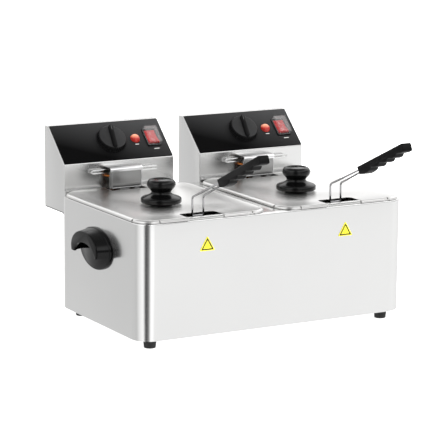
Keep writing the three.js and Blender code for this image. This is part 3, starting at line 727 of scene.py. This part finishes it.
def basket(side):
    """A chrome wire basket: bent mesh wires, a rod rim and base ring, and the two handle wires."""
    ux = UNIT_X[side]
    half, front, rear = 88.0, FRONT + 28, FRONT + 245
    top, base = 195.2, box_mm(f"{side}_basket")[0].z + 1.2
    mesh, pitch, corner = 0.75, 9.0, 22

    def loop(inset, radius, z, steps, thickness, count):
        """A closed wire round the basket."""
        ring = rounded(ux - half + inset, front + inset, ux + half - inset, rear - inset, radius, z, steps)
        return wire(ring, thickness, count, closed=True)

    shell = Shell()
    for k in range(14):
        inset = 1.4 + max(0, 2.5 - k) * 0.6
        shell.add(loop(inset, corner - inset, base + 6 + k * 9.4, 5, mesh, 6))
    for k in range(-7, 8):
        x = ux + k * pitch
        path = [(x, front + 1, top), (x, front + 1.2, base + 8), (x, front + 8, base),
                (x, rear - 8, base), (x, rear - 1.2, base + 8), (x, rear - 1, top)]
        shell.add(wire(smooth_corners(path, 5, 3), mesh, 5))
    for k in range(-10, 11):
        y = (front + rear) / 2 + k * pitch
        path = [(ux - half + 1, y, top), (ux - half + 1.2, y, base + 8), (ux - half + 8, y, base + 1.3),
                (ux + half - 8, y, base + 1.3), (ux + half - 1.2, y, base + 8), (ux + half - 1, y, top)]
        shell.add(wire(smooth_corners(path, 5, 3), mesh, 5))
    piece(f"{side}_basket_mesh", shell, CHROME, f"{side}_basket_body", (f"{side}_basket",),
          angle=60)

    rods = Shell().add(loop(0.6, corner, top + 0.2, 8, 2.0, 10)).add(loop(9, 16, base + 2.6, 6, 1.3, 8))
    wire_y, in_grip = FRONT + 31.5, 23
    for sign in (-1, 1):
        x, inner_x = ux + sign * WIRE_X, ux + sign * WIRE_IN_GRIP_X
        tip = (inner_x, FRONT + GRIP_Y - math.cos(GRIP_SLOPE) * in_grip,
               GRIP_Z + math.sin(GRIP_SLOPE) * in_grip)
        path = [(x, wire_y, 150), (x, wire_y, 233), (inner_x, FRONT + GRIP_Y, GRIP_Z), tip]
        rods.add(wire(smooth_corners(path, 4.5, 8), 1.6, 14))
    rods.add(wire([(ux - WIRE_X, wire_y, 203), (ux + WIRE_X, wire_y, 203)], 1.5, 10))
    piece(f"{side}_basket_wires", rods, CHROME, f"{side}_basket_body", angle=60)


# ------------------------------------------------------------------ control heads
def panel_matrix(side):
    """From flat panel coordinates (X across, Y up the slope, Z out of it) to the row frame."""
    front = box_mm(f"{side}_head_shell")[0].y
    slope = math.atan2(SLOPE_RISE, SLOPE_RUN)
    return Matrix.Translation((UNIT_X[side], front, SLOPE_FOOT)) @ Matrix.Rotation(slope, 4, "X")


def ports(z0, z1):
    """Forms that cut the panel's openings for the knob's shaft, the lamp and the switch."""
    place = Matrix.Translation
    return [(turned([(5.4, z0), (5.4, z1)], 24), place((KNOB_X, PANEL_MID, 0))),
            (turned([(6.4, z0), (6.4, z1)], 24), place((LAMP_X, PANEL_MID, 0))),
            (cuboid(-12.2, -17.8, z0, 12.2, 17.8, z1), place((SWITCH_X, PANEL_MID, 0)))]


def moved(form, matrix):
    """A form with its vertices moved by a matrix."""
    verts, faces = form
    return [matrix @ Vector(v) for v in verts], faces


def head(side):
    """A control head: its folded sheet case, the black panel and what sits on the panel."""
    low, high = box_mm(f"{side}_head_shell")
    x0, x1, front, rear, bottom, top = low.x, high.x, low.y, high.y, low.z, high.z
    body = f"{side}_head_body"
    outline = [(front, bottom), (rear, bottom), (rear, top), (front + SLOPE_RUN, top),
               (front, SLOPE_FOOT)]
    obj = new_object(f"{side}_head_case", Shell().add(prism(outline, x0, x1)))
    bevel(obj, 1.3, 4, 25)
    sheet = 1.2
    inner = [(front + sheet, bottom - 5), (rear - sheet, bottom - 5), (rear - sheet, top - sheet),
             (front + SLOPE_RUN + 0.4, top - sheet), (front + sheet, SLOPE_FOOT - 0.4)]
    on_panel = panel_matrix(side)
    tools = [prism(inner, x0 + sheet, x1 - sheet)] + [moved(f, on_panel @ m) for f, m in ports(-5, 5)]
    # holes in the front face for the element's two legs and the thermostat's tube
    for x, z, radius in ((-14, 226, 3.8), (14, 226, 3.8), (-29, 227, 2.5)):
        hole = Matrix.Translation((UNIT_X[side] + x, 0, z)) @ Matrix.Rotation(-math.pi / 2, 4, "X")
        tools.append(moved(turned([(radius, front - 5), (radius, front + 5)], 20), hole))
    cut(obj, *tools)
    finish_piece(obj, STEEL, body, (f"{side}_head_shell",), angle=30)

    plate = slab((-101.8, 1.2, 101.8, PANEL_LENGTH - 1.2, 1.5),
                 [(0, 0.3), (0, 1.05), (0.25, FACE)], 4)
    obj = new_object(f"{side}_fascia_plate", Shell().add(plate), on_panel)
    cut(obj, *[moved(f, on_panel @ m) for f, m in ports(-5, 5)])
    finish_piece(obj, PANEL, body, (f"{side}_fascia",), angle=30)

    # a plain dash under the lamp and another under the switch
    marks = Shell()
    for x, y, length in ((44.5, 30.5, 7), (77.8, 18.5, 10)):
        marks.add(slab((x - length / 2, y - 0.7, x + length / 2, y + 0.7, 0.5),
                       [(0, FACE - 0.1), (0, FACE + 0.06)], 3))
    piece(f"{side}_panel_marks", marks, MARK, body, matrix=on_panel)

    thermostat(side, on_panel)
    lamp(side, on_panel, body)
    switch(side, on_panel, body)


def thermostat(side, on_panel):
    """The thermostat's knob: a finely ribbed skirt, a flat face and one bar across it."""
    place = (on_panel @ Matrix.Translation((KNOB_X, PANEL_MID, FACE + 0.6))
             @ Matrix.Rotation(math.radians(-8), 4, "Z"))
    body = f"{side}_knob_body"
    skirt = [(3.3, 0), (24.6, 0), (25.6, 0.3), (26, 1), (26, 2.4), (25.5, 3), (25.3, 6.2), (24.9, 8),
             (24.3, 9.4), (23.4, 10.2), (22.4, 10.5), (3.3, 10.5)]
    count, dip, ribbed = 144, 0.7, (2.4, 9.4)      # ribs stand between these heights of the skirt
    rings = [circle(r, z, count, dip if r > 23 and ribbed[0] <= z <= ribbed[1] else 0) for r, z in skirt]
    obj = new_object(f"{side}_dial_body", Shell().add(loft(rings, close=True)), place)
    finish_piece(obj, BLACK, body, (f"{side}_thermostat_knob",), angle=35)
    second_material(obj, DIAL, place, 0.95)
    bar = slab((-3.7, -23, 3.7, 23.6, 3.2),
               [(-0.7, 9.2), (-0.3, 10.8), (0.2, 14), (0.5, 14.7), (1.1, 15)], 6)
    piece(f"{side}_dial_bar", Shell().add(bar), BLACK, body, matrix=place, angle=35)
    line = slab((-0.6, 12, 0.6, 21.6, 0.5), [(0, 14.9), (0, 15.06)], 3)
    piece(f"{side}_dial_pointer", Shell().add(line), PANEL_GREY, body, matrix=place)


def lamp(side, on_panel, body):
    """The indicator's dome over a thin flange."""
    place = on_panel @ Matrix.Translation((LAMP_X, PANEL_MID, 0))
    base = FACE + 0.5
    dome = [(0, base), (8.5, base), (8.6, base + 0.6), (8.3, base + 1.2)]
    dome += [(7.9 * math.cos(a), base + 1.4 + 5.3 * math.sin(a)) for a in
             (math.radians(d) for d in range(0, 91, 10))]
    piece(f"{side}_lamp_dome", Shell().add(turned(dome, 48), place), LAMP, body,
          (f"{side}_lamp_lens",), angle=50)


def switch(side, on_panel, body):
    """The rocker switch: its frame, the rocker with its two marks, and a clear hood over both."""
    place = on_panel @ Matrix.Translation((SWITCH_X, PANEL_MID, 0))
    frame_form = slab((-13, -18.5, 13, 18.5, 2),
                      [(0, FACE + 0.3), (0, FACE + 1.9), (0.25, FACE + 2.4), (0.8, FACE + 2.6)], 5)
    obj = new_object(f"{side}_switch_frame", Shell().add(frame_form)
                     .add(cuboid(-11.9, -17.5, -26, 11.9, 17.5, FACE + 0.25)), place)
    cut(obj, moved(cuboid(-10.3, -15, -6, 10.3, 15, 10), place))
    finish_piece(obj, BLACK, body, (f"{side}_switch_body",), angle=35)

    tilt = Matrix.Translation((0, 0, 0.5)) @ Matrix.Rotation(math.radians(-7), 4, "X")
    arc = [(-13.8 + 27.6 * k / 16, 3.0 + 1.6 * (abs(k - 8) / 8) ** 1.6) for k in range(17)]
    outline = [(-13.9, -1.8), (0, -4), (13.9, -1.8)] + [(y, z) for y, z in reversed(arc)]
    obj = new_object(f"{side}_rocker_key", Shell().add(prism(outline, -10, 10)), place @ tilt)
    bevel(obj, 0.5, 3, 35)
    finish_piece(obj, ROCKER, f"{side}_rocker_body", (f"{side}_switch_rocker",), angle=35)
    marks = Shell()
    marks.add(prism([(4.6, 3.28), (9.4, 3.85), (9.4, 4.0), (4.6, 3.45)], -0.5, 0.5))
    lean = Matrix.Translation((0, -7.4, 3.5)) @ Matrix.Rotation(math.radians(-7.5), 4, "X")
    marks.add(ring_form([(1.9, 0), (2.7, 0), (2.7, 0.14), (1.9, 0.14)], 28), lean)
    piece(f"{side}_rocker_marks", marks, ROCKER_MARK, f"{side}_rocker_body",
          matrix=place @ tilt)

    low = FACE + 2.9

    def hood(inset, z):
        return rounded(-12.4 + inset, -17.9 + inset, 12.4 - inset, 17.9 - inset, max(3 - inset, 0.5), z, 5)

    rings = [hood(0, low), hood(0, low + 7.6), hood(0.35, low + 8.6), hood(1.2, low + 9)]
    rings += [drawn_in(rings[-1], 0, 0, 0.02), drawn_in(hood(0, low + 8.2), 0, 0, 0.02)]
    rings += [hood(1.9, low + 8.2), hood(1.2, low + 7.6), hood(1.0, low)]
    obj = new_object(f"{side}_switch_hood", Shell().add(loft(rings, close=True)), place)
    finish_piece(obj, CLEAR_SIDE, body, (f"{side}_switch_cover",), angle=35)
    second_material(obj, CLEAR_TOP, place, 0.9, both_ways=True)


def bracket(side):
    """The bright hood over the element's legs, rolled at its front top edge, and the hanger loop."""
    ux, body = UNIT_X[side], f"{side}_head_body"
    foot, rear = box_mm(f"{side}_element_bracket")[0].z, FRONT + 302.7
    cy, cz = FRONT + 281, 238

    def arc(radius, start, end, steps=9):
        angles = [math.radians(start + (end - start) * k / steps) for k in range(steps + 1)]
        return [(cy + radius * math.cos(a), cz + radius * math.sin(a)) for a in angles]

    outline = ([(rear, cz + 5)] + arc(5, 90, 180) + [(cy - 5, 235.6), (cy - 4.6, 235.2), (cy - 3.8, 235.2)]
               + [(cy - 3.8, 238)] + arc(3.8, 180, 90)[1:] + [(rear, cz + 3.8)])
    # the roll takes the lighter steel: a painted highlight along it
    obj = new_object(f"{side}_hood_roll", Shell().add(prism(outline, ux - 30, ux + 30)))
    bevel(obj, 0.25, 2, 50)
    finish_piece(obj, HIGHLIGHT_ROLL_STEEL, body, (f"{side}_element_bracket",), angle=40)
    hem_y, hem_z = FRONT + 275.9, foot + 1.6
    hem = [(ux - 27.4, hem_y, hem_z), (ux + 27.6, hem_y, hem_z), (ux + 27.6, hem_y, 235)]
    piece(f"{side}_hood_hem", Shell().add(wire(smooth_corners(hem, 2, 4), 0.6, 10)), BRIGHT_STEEL, body,
          angle=60)
    # the front plate and its cheeks take the darker steel: painted shade
    shell = Shell().add(cuboid(ux - 28, FRONT + 276, foot, ux + 28, FRONT + 277.2, 236))
    cheek = [(FRONT + 276.2, foot), (FRONT + 287, foot), (FRONT + 285, 236), (FRONT + 276.2, 236)]
    for sign in (-1, 1):
        x = ux + sign * 27.4
        shell.add(prism(cheek, x - 0.6, x + 0.6))
    obj = new_object(f"{side}_hood_front", shell)
    bevel(obj, 0.3, 2, 50)
    finish_piece(obj, SHADED_SHEET_STEEL, body, angle=40)

    low, high = box_mm(f"{side}_hanger_loop")
    z, y = (low.z + high.z) / 2, (low.y + high.y) / 2
    radius = 1.5
    tall = (high.z - low.z) / 2 - radius
    track = rounded(low.x + radius, z - tall, high.x - radius, z + tall, tall - 0.01, 0, 8)
    ring = [(px, y, pz) for px, pz, _ in track]
    piece(f"{side}_loop_wire", Shell().add(wire(ring, radius, 12, closed=True)), BRIGHT_STEEL, body,
          (f"{side}_hanger_loop",), angle=60)


def heater(side):
    """The heating element: one tube from the head down into the tank and back, as a mirrored pair."""
    ux = UNIT_X[side]
    half = [(14, 322, 226), (14, 281, 226), (14, 281, 54), (78, 262, 54), (78, 48, 54), (28, 48, 54),
            (28, 232, 54)]
    path = [(ux + x, FRONT + y, z) for x, y, z in half]
    path += [(ux - x, FRONT + y, z) for x, y, z in reversed(half)]
    piece(f"{side}_element_tube", Shell().add(wire(smooth_corners(path, 18, 8), 3.2, 16)), ELEMENT,
          f"{side}_head_body", (f"{side}_heating_element",), angle=60)


# ------------------------------------------------------------------ side handles and labels
def side_handle(side, sign):
    """A moulded handle: an oval plate, and a hood over it that is open below for the fingers."""
    node = f"side_handle_{side}"
    low, high = box_mm(node)
    y, z = (low.y + high.y) / 2, (low.z + high.z) / 2
    wall = WALL_RIGHT if sign > 0 else WALL_LEFT
    open_below, count = 131, 64

    def cone(profile, cy=y, cz=z, ratio=0.633):
        """Ovals of (half length, distance from the wall), joined one over the other."""
        rings = []
        for r, out in profile:
            angles = [2 * math.pi * k / count for k in range(count)]
            ring = [(wall + sign * out, cy + r * math.cos(a), cz + r * ratio * math.sin(a)) for a in angles]
            rings.append(ring if sign > 0 else ring[::-1])
        return loft(rings)

    plate = new_object(f"{side}_handle_plate",
                       Shell().add(cone([(54, 0.3), (54, 3.2), (53.6, 4), (52.8, 4.5)])))
    hood = new_object(f"{side}_handle_hood", Shell().add(cone(
        [(52.3, 4.3), (51.9, 5.2), (46.8, 22), (46.2, 23.4), (45.2, 24.2), (44.2, 24.4)])))
    reach = sign * 30
    below = cuboid(min(wall - 5, wall + reach), y - 80, z - 60,
                   max(wall + 5, wall + reach), y + 80, open_below)
    cut(hood, cone([(46, 4.2), (40, 20.4)]), cone([(36, 3), (36, 28)], y - 3, open_below, 0.53), below)
    bevel(hood, 0.7, 3, 40)
    finish_piece(hood, HANDLE, "casing", (node,), angle=40)
    finish_piece(plate, HANDLE, "casing", angle=40)


def label(side):
    """A plain yellow triangle with a thin inner outline: no sign and no words."""
    low, high = box_mm(f"{side}_label")
    cx, half = (low.x + high.x) / 2, (high.x - low.x) / 2

    def triangle(inset, round_off, depth):
        """A smaller triangle with rounded corners, this far behind the label's foremost plane."""
        points = []
        corners = [Vector((-half, 0)), Vector((half, 0)), Vector((0, high.z - low.z))]
        centre = sum(corners, Vector((0, 0))) / 3
        corners = [centre + (c - centre) * (1 - inset) for c in corners]
        for k in range(3):
            a, b, c = corners[k - 1], corners[k], corners[(k + 1) % 3]
            p, q = b + (a - b).normalized() * round_off, b + (c - b).normalized() * round_off
            for j in range(6):
                t = j / 5
                points.append(p * (1 - t) ** 2 + b * 2 * t * (1 - t) + q * t * t)
        return [(cx + p.x, low.y + depth, low.z + p.y) for p in points]

    rear, film, line_front = high.y - low.y, 0.12, 0.02
    piece(f"{side}_label_film", Shell().add(loft([triangle(0, 2.2, rear), triangle(0, 2.2, film)])), YELLOW,
          "casing", (f"{side}_label",))
    line = loft([triangle(0.17, 1.6, film), triangle(0.17, 1.6, line_front),
                 triangle(0.42, 1.2, line_front), triangle(0.42, 1.2, film)], close=True)
    piece(f"{side}_label_outline", Shell().add(line), LABEL_LINE, "casing")


for s in SIDES:
    lid(s)
    lid_knob(s)
    tank(s)
    basket(s)
    grip(s)
    head(s)
    bracket(s)
    heater(s)
    label(s)
side_handle("left", -1)
side_handle("right", 1)

# CAD pieces that keep their own shape
KEPT = {"base_plate": STEEL}
for s in SIDES:
    KEPT.update({f"{s}_{node}": material for node, material in (
        ("head_cover", STEEL), ("head_hook", STEEL), ("cable_gland", BLACK), ("lid_knob_screw", BRIGHT_STEEL),
        ("thermostat_shaft", BRIGHT_STEEL), ("thermostat_body", CERAMIC), ("thermostat_probe", COPPER),
        ("lamp_body", BLACK), ("terminal_block", CERAMIC))})
for node, material in KEPT.items():
    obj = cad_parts[node]
    for index in range(max(len(obj.material_slots), 1)):
        if obj.material_slots:
            obj.material_slots[index].material = material
